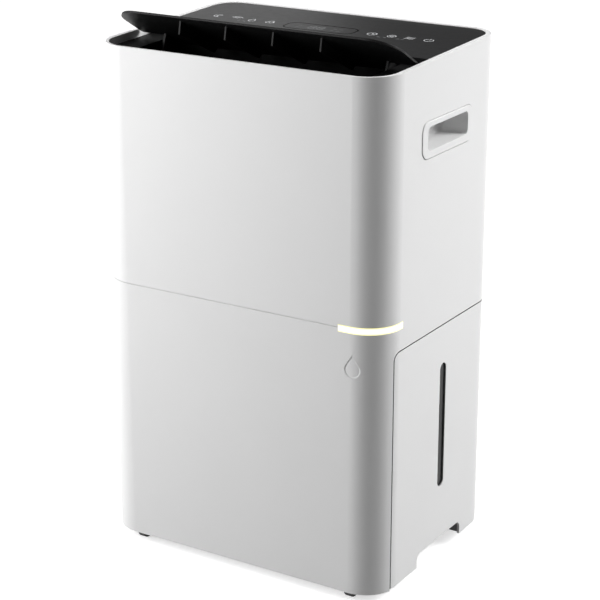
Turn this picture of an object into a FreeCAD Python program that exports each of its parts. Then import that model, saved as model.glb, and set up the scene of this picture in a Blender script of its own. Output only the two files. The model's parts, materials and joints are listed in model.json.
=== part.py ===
import FreeCAD, Part
import Sketcher

import math
import os
import re

# Portable dehumidifier with a side-loading water tank.  Millimetres, +Z up, origin on the floor under the
# middle of the body, front towards -Y, tank on the +X side.  The louver flap on top stands open at rest.

V = FreeCAD.Vector
doc = FreeCAD.newDocument("dehumidifier")

# ---------------------------------------------------------------------------------------------------------
# Driving dimensions
# ---------------------------------------------------------------------------------------------------------

SIZES = dict(
    # body
    body_width=378, body_depth=268, body_foot=12, body_top=615, top_fall=9,
    front_round=40, rear_round=36, cover_wall=3, fit_gap=0.4, rear_split=112,
    seam_height=329.4, seam_wide=0.8, seam_deep=1.1, split_gap=0.5,
    rim_side=6, rim_front=2.5, rim_rear=6, rim_depth=22,
    # top
    deck_drop=9, deck_plate=3, duct_half=149.5, duct_front=122, duct_rear=18, duct_depth=46, duct_wall=2.5,
    panel_front=28, panel_drop=0.6, panel_plate=4.4,
    # louver
    louver_y=56, louver_z=580, louver_open=32, louver_half=181, louver_reach=74, louver_tail=23,
    louver_plate=2.6, louver_round=33, wing_end=6, rib_plate=2, rib_back=9.5, rib_high=14, lug_front=11,
    lug_half=147, pin_radius=3, hub_radius=6.5,
    # drop mark
    mark_x=152, mark_z=282.6, mark_radius=9.6, mark_tip=300, mark_deep=0.45,
    # light strip
    light_low=324.6, light_high=332.4, light_start=134, light_end=88, light_deep=2.6,
    # side handles
    handle_front=41, handle_rear=52.6, handle_low=511.5, handle_high=538, handle_deep=33,
    handle_wall=2, handle_rim=12, handle_proud=1, handle_round=6, groove_wide=0.9, groove_deep=1.3,
    # tank
    tank_left=22, tank_right=185.8, tank_front=99, tank_rear=107, tank_low=49.5, tank_high=275,
    tank_wall=2.2, tank_round=12, door_front=103.6, door_low=14, door_high=298.6, door_round=9,
    window_y=10.3, window_wide=14.7, window_low=98, window_high=252, window_inset=1.8,
    notch_front=43, notch_rear=64, notch_high=31, notch_round=8, notch_deep=30, door_gap=1.3,
    # base and casters
    base_low=14, base_high=48, base_wall=3, caster_x=145, caster_front=107, caster_rear=98,
    boss_radius=11, boss_low=33, arch_reach=24,
    stem_radius=4, stem_top=43.5, run_gap=0.05, wheel_radius=13, wheel_wide=10, axle_radius=2, trail=9,
    fork_top=32, fork_crown=4, fork_plate=2.4,
    # tank bay, drip tray and coils
    bay_wall_x=14, bay_wall=3, bay_ceiling=300, coil_left=108, coil_right=128, coil_low=326, coil_high=560,
    evaporator_y=90, evaporator_deep=22, condenser_y=60, condenser_deep=24, header_radius=5,
    header_x=120, tray_low=306, tray_high=322,
    # compressor
    comp_x=95, comp_radius=52, comp_low=61, comp_high=235, comp_round=16, pipe_radius=4, pipe_x=120,
    flask_y=78, flask_radius=19, flask_low=100, flask_high=222,
    # fan
    fan_x=15, fan_z=440, fan_front=88, fan_rear=34, fan_wall=2.5, wheel_r_out=80, wheel_r_in=66,
    volute_start=88, volute_growth=34, inlet_radius=68, motor_radius=38, motor_front=126, plenum_low=545,
    # rear
    grille_half=135, grille_low=240, grille_high=560, grille_gap=0.5, grille_bar=3, grille_pitch=11,
    drain_x=110, drain_z=205, drain_radius=9, gland_x=130, gland_z=70, gland_radius=9, cord_radius=4.5,
)

sheet = doc.addObject("Spreadsheet::Sheet", "Sizes")
for row, (alias, value) in enumerate(SIZES.items(), 1):
    sheet.set(f"A{row}", alias)
    sheet.set(f"B{row}", str(value))
    sheet.setAlias(f"B{row}", alias)
doc.recompute()

NODES = []


def size(alias):
    """The value of one cell, for shapes that are made from Part's own functions."""
    return float(sheet.get(alias))


def ex(text):
    """An expression in which every alias (a word with an underscore, or trail) reads its cell."""
    return re.sub(r"\b(trail|[a-z]+(?:_[a-z]+)+)\b", r"Sizes.\1", str(text))


def less(low, high):
    return f"({high}) - ({low})"


def node(label, thing):
    """Name a finished sub-part and list it for export."""
    thing.Label = label
    NODES.append(thing)
    return thing


# ---------------------------------------------------------------------------------------------------------
# Part primitives bound to the sheet
# ---------------------------------------------------------------------------------------------------------

TURNS = {"x": (V(0, 1, 0), 90), "y": (V(1, 0, 0), -90), "z": (V(0, 0, 1), 0)}


def stand(thing, at, turn=None):
    """Bind a thing's position, after an optional turn of (axis, angle)."""
    if turn:
        thing.Placement = FreeCAD.Placement(V(), FreeCAD.Rotation(*turn))
    for axis, text in zip("xyz", at):
        thing.setExpression("Placement.Base." + axis, ex(text))


def box(name, x, y, z):
    """A box between the (low, high) expressions on each axis."""
    thing = doc.addObject("Part::Box", name)
    for side, (low, high) in zip(("Length", "Width", "Height"), (x, y, z)):
        thing.setExpression(side, ex(less(low, high)))
    stand(thing, (x[0], y[0], z[0]))
    return thing


def rod(name, axis, centre, along, radius):
    """A cylinder along an axis: centre holds its two other coordinates in x, y, z order."""
    thing = doc.addObject("Part::Cylinder", name)
    thing.setExpression("Radius", ex(radius))
    thing.setExpression("Height", ex(less(*along)))
    at = list(centre)
    at.insert("xyz".index(axis), along[0])
    stand(thing, at, TURNS[axis])
    return thing


def fuse(name, *things):
    union = doc.addObject("Part::MultiFuse", name)
    union.Shapes = list(things)
    union.Refine = True
    return union


def cut(name, base, *tools):
    result = doc.addObject("Part::Cut", name)
    result.Base = base
    result.Tool = tools[0] if len(tools) == 1 else fuse(name + "_tools", *tools)
    result.Refine = True
    return result


def common(name, first, second):
    result = doc.addObject("Part::Common", name)
    result.Base = first
    result.Tool = second
    result.Refine = True
    return result


def group(name, *things):
    """Identical loose pieces that share one sub-part."""
    result = doc.addObject("Part::Compound", name)
    result.Links = list(things)
    return result


def made(name, shape):
    """A shape made with Part's own functions."""
    thing = doc.addObject("Part::Feature", name)
    thing.Shape = shape
    return thing


def soft_can(name, can, radius):
    """A cylinder with both of its rims rounded."""
    doc.recompute()
    soft = doc.addObject("Part::Fillet", name)
    soft.Base = can
    rims = [i for i, edge in enumerate(can.Shape.Edges, 1) if edge.Curve.TypeId == "Part::GeomCircle"]
    soft.Edges = [(i, radius, radius) for i in rims]
    return soft


# ---------------------------------------------------------------------------------------------------------
# PartDesign bodies bound to the sheet
# ---------------------------------------------------------------------------------------------------------

NORMALS = {"XY_Plane": V(0, 0, 1), "XZ_Plane": V(0, -1, 0), "YZ_Plane": V(1, 0, 0)}


def flat_sketch(body, plane, name, lift):
    sketch = body.newObject("Sketcher::SketchObject", name)
    own_plane = next(part for part in body.Origin.OriginFeatures if part.Role == plane)
    sketch.AttachmentSupport = [(own_plane, "")]
    sketch.MapMode = "FlatFace"
    sketch.setExpression("AttachmentOffset.Base.z", ex(lift))
    return sketch


def outline(sketch, corners):
    """A closed outline of straight lines whose corners sit at pairs of expressions."""
    count = len(corners)
    ring = [V(math.cos(2 * math.pi * i / count), math.sin(2 * math.pi * i / count), 0) for i in range(count)]
    for i in range(count):
        sketch.addGeometry(Part.LineSegment(ring[i], ring[(i + 1) % count]))
    for i, (u, v) in enumerate(corners):
        sketch.addConstraint(Sketcher.Constraint("Coincident", i, 2, (i + 1) % count, 1))
        for kind, text in (("DistanceX", u), ("DistanceY", v)):
            number = sketch.addConstraint(Sketcher.Constraint(kind, -1, 1, i, 1, 1.0))
            sketch.setExpression(f"Constraints[{number}]", ex(text))


def circle(sketch, u, v, radius):
    number = sketch.addGeometry(Part.Circle(V(1, 1, 0), V(0, 0, 1), 1))
    for kind, text in (("DistanceX", u), ("DistanceY", v)):
        place = sketch.addConstraint(Sketcher.Constraint(kind, -1, 1, number, 3, 1.0))
        sketch.setExpression(f"Constraints[{place}]", ex(text))
    place = sketch.addConstraint(Sketcher.Constraint("Radius", number, 1.0))
    sketch.setExpression(f"Constraints[{place}]", ex(radius))


def rectangle(u, v):
    return [(u[0], v[0]), (u[1], v[0]), (u[1], v[1]), (u[0], v[1])]


def lift_of(plane, w):
    """The sketch's own offset: an XZ sketch looks towards -Y, so it starts at the far end of w."""
    return f"-({w[1]})" if plane == "XZ_Plane" else w[0]


def pad(body, name, plane, corners, w):
    sketch = flat_sketch(body, plane, name + "_outline", lift_of(plane, w))
    outline(sketch, corners)
    feature = body.newObject("PartDesign::Pad", name)
    feature.Profile = sketch
    feature.setExpression("Length", ex(less(*w)))
    doc.recompute()
    return feature


def pocket(body, name, plane, corners, w):
    """Cut the outline out of the body between the two ends of w."""
    sketch = flat_sketch(body, plane, name + "_outline", lift_of(plane, w))
    outline(sketch, corners)
    before = body.Tip.Shape.Volume
    feature = body.newObject("PartDesign::Pocket", name)
    feature.Profile = sketch
    feature.Reversed = True
    feature.setExpression("Length", ex(less(*w)))
    doc.recompute()
    if feature.Shape.Volume >= before:
        raise RuntimeError(name + " cuts nothing")
    return feature


def rounded(body, name, wanted, radius):
    """Fillet the edges of the body's last feature that wanted(edge) picks."""
    base = body.Tip
    edges = [f"Edge{i}" for i, edge in enumerate(base.Shape.Edges, 1) if wanted(edge)]
    feature = body.newObject("PartDesign::Fillet", name)
    feature.Base = (base, edges)
    feature.setExpression("Radius", ex(radius))
    doc.recompute()
    return feature


def along(direction, where=lambda middle: True):
    """Pick straight edges parallel to a direction whose middle passes a test."""
    def wanted(edge):
        if edge.Curve.TypeId != "Part::GeomLine":
            return False
        return abs(edge.Curve.Direction.dot(direction)) > 0.999 and where(edge.CenterOfMass)
    return wanted


def slab(name, plane, u, v, w, rounds=()):
    """A rectangle padded along w, its upright edges rounded by (radius, test of the edge's middle)."""
    body = doc.addObject("PartDesign::Body", name)
    pad(body, name + "_pad", plane, rectangle(u, v), w)
    for count, (radius, where) in enumerate(rounds):
        rounded(body, f"{name}_round{count}", along(NORMALS[plane], where), radius)
    return body


def prism(name, plane, corners, w):
    body = doc.addObject("PartDesign::Body", name)
    pad(body, name + "_pad", plane, corners, w)
    return body


def bent_pipe(name, plane, lift, points, bend, radius, start_plane, start_centre, start_lift):
    """A round pipe swept along straight runs with tangent bends, all in one plane of the body."""
    body = doc.addObject("PartDesign::Body", name)
    path = flat_sketch(body, plane, name + "_path", lift)
    nodes = [V(*point, 0) for point in points]
    trims = []
    for before, at, after in zip(nodes, nodes[1:], nodes[2:]):
        arrive = (at - before).normalize()
        leave = (after - at).normalize()
        turn = arrive.getAngle(leave)
        reach = bend * math.tan(turn / 2)
        first, last = at - arrive * reach, at + leave * reach
        middle = at + (leave - arrive).normalize() * (bend / math.cos(turn / 2) - bend)
        trims.append((first, middle, last))
    starts = [nodes[0]] + [last for _, _, last in trims]
    ends = [first for first, _, _ in trims] + [nodes[-1]]
    for i, (start, end) in enumerate(zip(starts, ends)):
        path.addGeometry(Part.LineSegment(start, end))
        if i < len(trims):
            path.addGeometry(Part.Arc(*trims[i]))
    for number in range(len(path.Geometry)):
        path.addConstraint(Sketcher.Constraint("Block", number))
    ring = flat_sketch(body, start_plane, name + "_ring", start_lift)
    circle(ring, *start_centre, radius)
    feature = body.newObject("PartDesign::AdditivePipe", name + "_sweep")
    feature.Profile = ring
    feature.Spine = path
    doc.recompute()
    return body


def at_front(middle):
    return middle.y < 0


def at_rear(middle):
    return middle.y > 0


def anywhere(middle):
    return True


def behind(low, high):
    """A span of y measured outwards from the rear face."""
    return (f"body_depth / 2 {low:+g}", f"body_depth / 2 {high:+g}")


# The top plane falls towards the front: things on it are modelled level, then tipped about its rear edge.
TOP_TILT = math.degrees(math.atan2(size("top_fall"), size("body_depth")))


def on_top(thing):
    """Tip a thing that was modelled with z = 0 on the top plane and y = 0 at the rear face."""
    stand(thing, ("0", "body_depth / 2", "body_top"), (V(1, 0, 0), TOP_TILT))
    return thing


def top_box(name, x, y, z):
    """A box in the top plane's own frame; y is measured from the body's middle."""
    thing = box(name, x, y, z)
    rise, run = math.sin(math.radians(TOP_TILT)), math.cos(math.radians(TOP_TILT))
    behind = f"(({y[0]}) - body_depth / 2)"
    stand(thing, (x[0], f"body_depth / 2 + {behind} * {run} - ({z[0]}) * {rise}",
                  f"body_top + {behind} * {rise} + ({z[0]}) * {run}"), (V(1, 0, 0), TOP_TILT))
    return thing


# ---------------------------------------------------------------------------------------------------------
# Body covers
# ---------------------------------------------------------------------------------------------------------

def plan_block(name, inset_x, inset_front, inset_rear, low, high):
    """The body's plan, drawn in from the outline, between two heights."""
    return slab(
        name, "XY_Plane",
        (f"{inset_x} - body_width / 2", f"body_width / 2 - {inset_x}"),
        (f"{inset_front} - body_depth / 2", f"body_depth / 2 - {inset_rear}"),
        (low, high),
        ((f"front_round - {inset_x}", at_front), (f"rear_round - {inset_x}", at_rear)),
    )


ABOVE = "body_top + 10"

body_block = plan_block("body_block", "0", "0", "0", "body_foot", ABOVE)
body_hollow = plan_block("body_hollow", "cover_wall", "cover_wall", "cover_wall", "body_foot - 1",
                         ABOVE + " + 1")
rim_block = plan_block("rim_block", "0", "0", "0", "body_top - top_fall - rim_depth", ABOVE)
rim_hollow = plan_block("rim_hollow", "rim_side", "rim_front", "rim_rear", "body_foot", ABOVE + " + 1")

over_top = top_box("over_top", ("-body_width", "body_width"), ("-body_depth", "body_depth"), ("0", "60"))

walls = cut("walls", body_block, body_hollow)
rim = cut("rim", rim_block, rim_hollow)
shell = cut("shell", fuse("walls_and_rim", walls, rim), over_top)

REACH = "body_width"
SPLIT_GAP = "rear_split + split_gap"


def zone(name, x=("-" + REACH, REACH), y=("-" + REACH, REACH), z=("0", "body_top + 50")):
    return box(name, x, y, z)


def light_zone(name, grow):
    """The corner of the body that the light strip fills."""
    return zone(
        name, x=(f"light_start - {grow}", REACH), y=("-" + REACH, f"{grow} - light_end"),
        z=(f"light_low - {grow}", f"light_high + {grow}"),
    )


HANDLE_LOW = "handle_low - handle_rim * 0.7"
HANDLE_HIGH = "handle_high + handle_rim * 0.5"


def across(side, low, high):
    """A span of x measured outwards from the right wall's face, or from the left one's if side is -1."""
    low, high = f"body_width / 2 + {low}", f"body_width / 2 + {high}"
    return (low, high) if side > 0 else (f"-({high})", f"-({low})")


def handle_hole(name, side):
    """The hole in a side wall that a handle cup passes through."""
    return box(
        name, across(side, -10, 10),
        ("-(handle_front + handle_wall + fit_gap)", "handle_rear + handle_wall + fit_gap"),
        ("handle_low - handle_wall - fit_gap", "handle_high + handle_wall + fit_gap"),
    )


def handle_groove(name, side):
    """The shallow groove in a side wall round the flange of a handle cup."""
    return slab(
        name, "YZ_Plane",
        ("-handle_front - handle_rim - groove_wide", "handle_rear + handle_rim + groove_wide"),
        (HANDLE_LOW + " - groove_wide", HANDLE_HIGH + " + groove_wide"), across(side, "-groove_deep", 5),
        (("handle_round * 2 + groove_wide", anywhere),),
    )


def teardrop(tip, radius, middle_x, middle_z):
    """A drop outline in the XZ plane: an arc below and two tangent lines up to the tip."""
    rise = tip - middle_z
    lean = math.acos(radius / rise)
    left = V(middle_x - radius * math.sin(lean), 0, middle_z + radius * math.cos(lean))
    right = V(middle_x + radius * math.sin(lean), 0, left.z)
    point = V(middle_x, 0, tip)
    bottom = V(middle_x, 0, middle_z - radius)
    edges = [Part.LineSegment(point, left).toShape(), Part.Arc(left, bottom, right).toShape(),
             Part.LineSegment(right, point).toShape()]
    return Part.Face(Part.Wire(edges))


# The tank-full mark: a drop sunk a little into the front cover where it starts to turn the corner.
mark_face = teardrop(size("mark_tip"), size("mark_radius"), size("mark_x"), size("mark_z"))
mark_face.translate(V(0, -size("body_depth") / 2 - 2, 0))
mark_post = made("mark_post", mark_face.extrude(V(0, 20, 0)))
mark_floor = plan_block("mark_floor", "mark_deep", "mark_deep", "mark_deep", "body_foot", "seam_height")
mark = cut("mark", mark_post, mark_floor)

tank_doorway = slab(
    "tank_doorway", "YZ_Plane", ("-(door_front + door_gap)", "rear_split + 1"), ("0", "door_high + door_gap"),
    ("body_width / 2 - 45", "body_width / 2 + 5"),
    (("door_round + door_gap", lambda m: m.y < 0 and m.z > size("door_high") / 2),),
)
front_zone = zone("front_zone", y=("-" + REACH, "rear_split"))
groove_floor = plan_block("groove_floor", "seam_deep", "seam_deep", "seam_deep", "body_foot", "body_top")
groove_band = zone("groove_band", x=("-" + REACH, "light_start + 1"),
                   z=("seam_height - seam_wide / 2", "seam_height + seam_wide / 2"))
groove = cut("groove", groove_band, groove_floor)
node("front_cover", cut(
    "front_cover", common("front_shell", shell, front_zone), tank_doorway,
    light_zone("light_slot", "fit_gap / 2"),
    handle_hole("handle_hole_right", 1), handle_groove("handle_groove_right", 1),
    handle_hole("handle_hole_left", -1), handle_groove("handle_groove_left", -1), groove, mark,
))

# ---------------------------------------------------------------------------------------------------------
# Light strip round the front right corner
# ---------------------------------------------------------------------------------------------------------

light_ring = cut(
    "light_ring", plan_block("light_outer", "0", "0", "0", "light_low", "light_high"),
    plan_block("light_inner", "light_deep", "light_deep", "light_deep", "light_low - 1", "light_high + 1"),
)
node("light_strip", common("light_strip", light_ring, light_zone("light_here", "0")))
board_ring = cut(
    "board_ring",
    plan_block("board_outer", "cover_wall + 1", "cover_wall + 1", "20", "light_low + 1", "light_high - 1"),
    plan_block("board_inner", "cover_wall + 2.2", "cover_wall + 2.2", "22", "light_low", "light_high"),
)
node("light_board", common("light_board", board_ring, light_zone("board_here", "0")))

# ---------------------------------------------------------------------------------------------------------
# Rear cover, intake grille, drain and cord gland
# ---------------------------------------------------------------------------------------------------------

SCREW_X = 146
SCREW_HEIGHTS = (90, 210, 400, 585)
SCREW_HEAD = 3.6
SCREW_SHANK = 1.6

rear_zone = zone("rear_zone", y=(SPLIT_GAP, REACH))
grille_hole = box(
    "grille_hole", ("-grille_half", "grille_half"), behind(-10, 5),
    ("grille_low", "grille_high"),
)
DRAIN = ("drain_x", "drain_z")
GLAND = ("-gland_x", "gland_z")
drain_hole = rod("drain_hole", "y", DRAIN, behind(-10, 5), "drain_radius + 2.5")
gland_hole = rod("gland_hole", "y", GLAND, behind(-10, 5), "gland_radius - 2")
screw_holes = []
screws = []
for side in (-1, 1):
    for height in SCREW_HEIGHTS:
        tag = f"{'left' if side < 0 else 'right'}_{height}"
        at = (str(side * SCREW_X), str(height))
        screw_holes.append(rod("sink_" + tag, "y", at, behind(-2, 5), "4"))
        screw_holes.append(rod("bore_" + tag, "y", at, behind(-10, 0), "2"))
        head = rod("head_" + tag, "y", at, behind(-2, -0.3), SCREW_HEAD)
        cross = box("cross_" + tag, (f"{at[0]} - 2", f"{at[0]} + 2"), behind(-1.3, 1),
                    (f"{at[1]} - 0.5", f"{at[1]} + 0.5"))
        bar = box("bar_" + tag, (f"{at[0]} - 0.5", f"{at[0]} + 0.5"), behind(-1.3, 1),
                  (f"{at[1]} - 2", f"{at[1]} + 2"))
        shank = rod("shank_" + tag, "y", at, behind(-14, -2), SCREW_SHANK)
        screws.append(cut("screw_" + tag, fuse("screw_body_" + tag, head, shank), cross, bar))
rear_shell = common("rear_shell", shell, rear_zone)
node("rear_cover", cut("rear_cover", rear_shell, grille_hole, drain_hole, gland_hole, *screw_holes))
node("cover_screws", group("cover_screws", *screws))

GRILLE_DEEP = 6
GRILLE_EDGE = 8
grille = slab(
    "intake_grille", "XZ_Plane", ("grille_gap - grille_half", "grille_half - grille_gap"),
    ("grille_low + grille_gap", "grille_high - grille_gap"),
    (f"body_depth / 2 - {GRILLE_DEEP}", "body_depth / 2 - 0.2"),
)
pocket(
    grille, "grille_window", "XZ_Plane",
    rectangle((f"{GRILLE_EDGE} - grille_half", f"grille_half - {GRILLE_EDGE}"),
              (f"grille_low + {GRILLE_EDGE}", f"grille_high - {GRILLE_EDGE}")),
    (f"body_depth / 2 - {GRILLE_DEEP}", "body_depth / 2 - 0.2"),
)
BAR_DEPTH = behind(-5, -0.6)
INNER = (f"{GRILLE_EDGE - 1} - grille_half", f"grille_half - {GRILLE_EDGE - 1}")
first_bar = pad(
    grille, "first_bar", "XZ_Plane",
    rectangle(INNER, (f"grille_low + {GRILLE_EDGE} + grille_pitch - grille_bar",
                      f"grille_low + {GRILLE_EDGE} + grille_pitch")),
    BAR_DEPTH,
)
bar_room = size("grille_high") - size("grille_low") - 2 * GRILLE_EDGE
bar_count = int(bar_room // size("grille_pitch"))
bars = grille.newObject("PartDesign::LinearPattern", "bars")
bars.Originals = [first_bar]
bars.Direction = (first_bar.Profile[0], ["V_Axis"])
bars.setExpression("Length", ex(f"grille_pitch * {bar_count - 1}"))
bars.Occurrences = bar_count
grille.Tip = bars
doc.recompute()
for count, x in enumerate((-42, 42)):
    upright = rectangle((str(x - 2), str(x + 2)),
                        (f"grille_low + {GRILLE_EDGE - 1}", f"grille_high - {GRILLE_EDGE - 1}"))
    pad(grille, f"upright{count}", "XZ_Plane", upright, BAR_DEPTH)
node("intake_grille", grille)
node("filter_mesh", box(
    "filter_mesh", (f"{GRILLE_EDGE - 2} - grille_half", f"grille_half - {GRILLE_EDGE - 2}"),
    (f"body_depth / 2 - {GRILLE_DEEP + 1}", f"body_depth / 2 - {GRILLE_DEEP}"),
    (f"grille_low + {GRILLE_EDGE - 2}", f"grille_high - {GRILLE_EDGE - 2}"),
))

drain_body = fuse(
    "drain_body",
    rod("drain_tube", "y", DRAIN, behind(-24, -4), "drain_radius - 2"),
    rod("drain_flange", "y", DRAIN, behind(-8, -3.2), "drain_radius + 5"),
)
drain_bore = rod("drain_bore", "y", DRAIN, behind(-31, 5), "drain_radius - 4")
node("drain_port", cut("drain_port", drain_body, drain_bore))
cap_body = fuse(
    "cap_body",
    rod("cap_head", "y", DRAIN, behind(-3, -0.3), "drain_radius + 1.5"),
    rod("cap_plug", "y", DRAIN, behind(-16, -3), "drain_radius - 4.3"),
)
cap_grip = [
    box(f"cap_dish{i}", ("drain_x - 6", "drain_x + 6"), behind(-1.8, 2),
        (f"drain_z + {low}", f"drain_z + {low} + 4")) for i, low in enumerate((-6.5, 2.5))
]
node("drain_cap", cut("drain_cap", cap_body, *cap_grip))

gland_body = fuse(
    "gland_body",
    rod("gland_neck", "y", GLAND, behind(-9, -0.2), "gland_radius - 2.2"),
    rod("gland_flange", "y", GLAND, behind(-7, -3.1), "gland_radius + 2"),
)
gland_bore = rod("gland_bore", "y", GLAND, behind(-12, 2), "cord_radius")
node("cord_gland", cut("cord_gland", gland_body, gland_bore))

# ---------------------------------------------------------------------------------------------------------
# Top deck, control panel, outlet grille
# ---------------------------------------------------------------------------------------------------------

def top_slab(name, inset_x, front, rear, z, rounds=()):
    """A slab on the top plane between two distances from the body's middle towards the front and the rear."""
    return on_top(slab(
        name, "XY_Plane", (f"{inset_x} - body_width / 2", f"body_width / 2 - {inset_x}"),
        (f"{front} - body_depth / 2", f"{rear} - body_depth / 2"), z, rounds,
    ))


RIM_INSET = "(rim_side + fit_gap)"
RIM_BACK = "body_depth / 2 - rim_rear - fit_gap"
deck_plate = top_slab(
    "deck_plate", RIM_INSET, "rim_front + fit_gap - body_depth / 2", RIM_BACK,
    ("-deck_drop - deck_plate", "-deck_drop"),
    (("front_round - rim_side - fit_gap", lambda m: m.y < -size("body_depth") / 2),
     ("rear_round - rim_side - fit_gap", lambda m: m.y > -size("body_depth") / 2)),
)

DUCT_X = ("-duct_half - duct_wall", "duct_half + duct_wall")
DUCT_Y = ("-duct_front - duct_wall", "duct_wall - duct_rear")
duct_outer = top_box("duct_outer", DUCT_X, DUCT_Y, ("-duct_depth", "-deck_drop"))
duct_inner = top_box(
    "duct_inner", ("-duct_half", "duct_half"), ("-duct_front", "-duct_rear"), ("-duct_depth - 5", "5"),
)
panel_rests = [
    top_box(f"panel_rest{i}", (f"{x} - 2.5", f"{x} + 2.5"), ("10 - duct_rear", "body_depth / 2 - 40"),
            ("-deck_drop", "-panel_drop - panel_plate")) for i, x in enumerate((-176, 176))
]
PIVOT = ("-louver_y", "louver_z")
pin_bore = rod("pin_bore", "x", PIVOT, ("-body_width / 2", "body_width / 2"), "pin_radius + run_gap")
pin_bosses = [
    rod("pin_boss_right", "x", PIVOT, ("duct_half", "duct_half + duct_wall + 2"), "hub_radius"),
    rod("pin_boss_left", "x", PIVOT, ("-duct_half - duct_wall - 2", "-duct_half"), "hub_radius"),
]
deck_full = fuse("deck_full", deck_plate, duct_outer, *panel_rests)
deck_ducted = fuse("deck_ducted", cut("deck_open", deck_full, duct_inner), *pin_bosses)
node("top_deck", cut("top_deck", deck_ducted, pin_bore))

node("control_panel", top_slab(
    "control_panel", RIM_INSET, "-panel_front", RIM_BACK, ("-panel_drop - panel_plate", "-panel_drop"),
    (("rear_round - rim_side - fit_gap", lambda m: m.y > -size("body_depth") / 2),),
))
BOARD_Z = ("-deck_drop + 0.6", "-deck_drop + 2.2")
node("control_board", fuse(
    "control_board", top_box("touch_board", ("-170", "170"), ("30", "66"), BOARD_Z),
    top_box("display_module", ("-32", "32"), ("38", "62"), (BOARD_Z[0], "-panel_drop - panel_plate")),
))

guard_frame = cut(
    "guard_frame",
    top_box("guard_outer", ("-duct_half + 0.3", "duct_half - 0.3"), ("-duct_front + 0.3", "-duct_rear - 0.3"),
            ("-duct_depth", "-duct_depth + 4")),
    top_box("guard_inner", ("-duct_half + 4", "duct_half - 4"), ("-duct_front + 4", "-duct_rear - 4"),
            ("-duct_depth - 1", "-duct_depth + 5")),
)
GUARD_PITCH = 12
guard_count = int((size("duct_half") - 6) // GUARD_PITCH)
guard_bars = [
    top_box(f"guard_bar{i + guard_count}", (f"{i * GUARD_PITCH} - 1", f"{i * GUARD_PITCH} + 1"),
            ("-duct_front + 3", "-duct_rear - 3"), ("-duct_depth", "-duct_depth + 4"))
    for i in range(-guard_count, guard_count + 1)
]
guard_rails = [
    top_box(f"guard_rail{i}", ("-duct_half + 3", "duct_half - 3"), (f"{y} - 1", f"{y} + 1"),
            ("-duct_depth", "-duct_depth + 3")) for i, y in enumerate((-96, -70, -44))
]
node("outlet_guard", fuse("outlet_guard", guard_frame, *guard_bars, *guard_rails))

# ---------------------------------------------------------------------------------------------------------
# Louver flap: modelled about its pivot as if shut, then turned open
# ---------------------------------------------------------------------------------------------------------

behind_pivot = size("body_depth") / 2 + size("louver_y")
above_pivot = size("body_top") - behind_pivot * math.tan(math.radians(TOP_TILT)) - size("louver_z")
louver_top = above_pivot * math.cos(math.radians(TOP_TILT)) - size("panel_drop")
BLADE = (f"{louver_top} - louver_plate", f"{louver_top}")
UNDER_BLADE = BLADE[0] + " + 0.2"
louver_body = prism(
    "louver_blade", "XY_Plane",
    [("-louver_half", "-louver_reach"), ("louver_half", "-louver_reach"), ("louver_half", "-wing_end"),
     ("lug_half", "-wing_end"), ("lug_half", "louver_tail"), ("-lug_half", "louver_tail"),
     ("-lug_half", "-wing_end"), ("-louver_half", "-wing_end")], BLADE,
)
louver_front = -size("louver_reach") / 2
rounded(louver_body, "blade_corners", along(V(0, 0, 1), lambda m: m.y < louver_front), "louver_round")
beside_lugs = size("lug_half") + 1
rounded(louver_body, "wing_corners",
        along(V(0, 0, 1), lambda m: m.y > louver_front and abs(m.x) > beside_lugs), "4")
rounded(louver_body, "blade_edge", lambda edge: abs(edge.CenterOfMass.z - louver_top) < 0.05
        and abs(edge.BoundBox.ZLength) < 0.05, "0.8")
louver_parts = [louver_body]
for count, x in enumerate((-91, -30.5, 30.5, 91)):
    louver_parts.append(prism(
        f"louver_rib{count}", "YZ_Plane",
        [("rib_back - louver_reach", UNDER_BLADE), ("louver_tail - 4", UNDER_BLADE),
         ("louver_tail - 8", BLADE[0] + " - 8"), ("-8", BLADE[0] + " - 10"),
         ("rib_back + 5 - louver_reach", BLADE[0] + " - rib_high")],
        (f"{x} - rib_plate / 2", f"{x} + rib_plate / 2"),
    ))
for side in (-1, 1):
    tag = "left" if side < 0 else "right"
    ends = ("lug_half - 3", "lug_half") if side > 0 else ("-lug_half", "3 - lug_half")
    pins = ("lug_half - 1", "duct_half + duct_wall + 1.5")
    pins = pins if side > 0 else (f"-({pins[1]})", f"-({pins[0]})")
    louver_parts += [
        prism(f"louver_lug_{tag}", "YZ_Plane",
              [("-lug_front", UNDER_BLADE), ("louver_tail - 3", UNDER_BLADE),
               ("hub_radius - 0.3", "2"), ("-hub_radius + 0.3", "2")], ends),
        rod(f"louver_hub_{tag}", "x", ("0", "0"), ends, "hub_radius"),
        rod(f"louver_pin_{tag}", "x", ("0", "0"), pins, "pin_radius"),
    ]
louver = node("louver", fuse("louver", *louver_parts))
stand(louver, ("0", "-louver_y", "louver_z"), (V(1, 0, 0), TOP_TILT - size("louver_open")))

MOTOR_IN = "duct_half + duct_wall + 2.2"
node("louver_motor", fuse(
    "louver_motor",
    rod("louver_can", "x", PIVOT, (MOTOR_IN, MOTOR_IN + " + 18"), "13.5"),
    box("louver_plug", (MOTOR_IN + " + 2", MOTOR_IN + " + 17"), ("-louver_y - 20", "-louver_y - 10"),
        ("louver_z - 8", "louver_z + 8")),
    box("louver_ear", (MOTOR_IN, MOTOR_IN + " + 1.2"), ("-louver_y - 4", "-louver_y + 4"),
        ("louver_z - 20", "louver_z - 8")),
))

# ---------------------------------------------------------------------------------------------------------
# Side handle cups
# ---------------------------------------------------------------------------------------------------------

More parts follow.
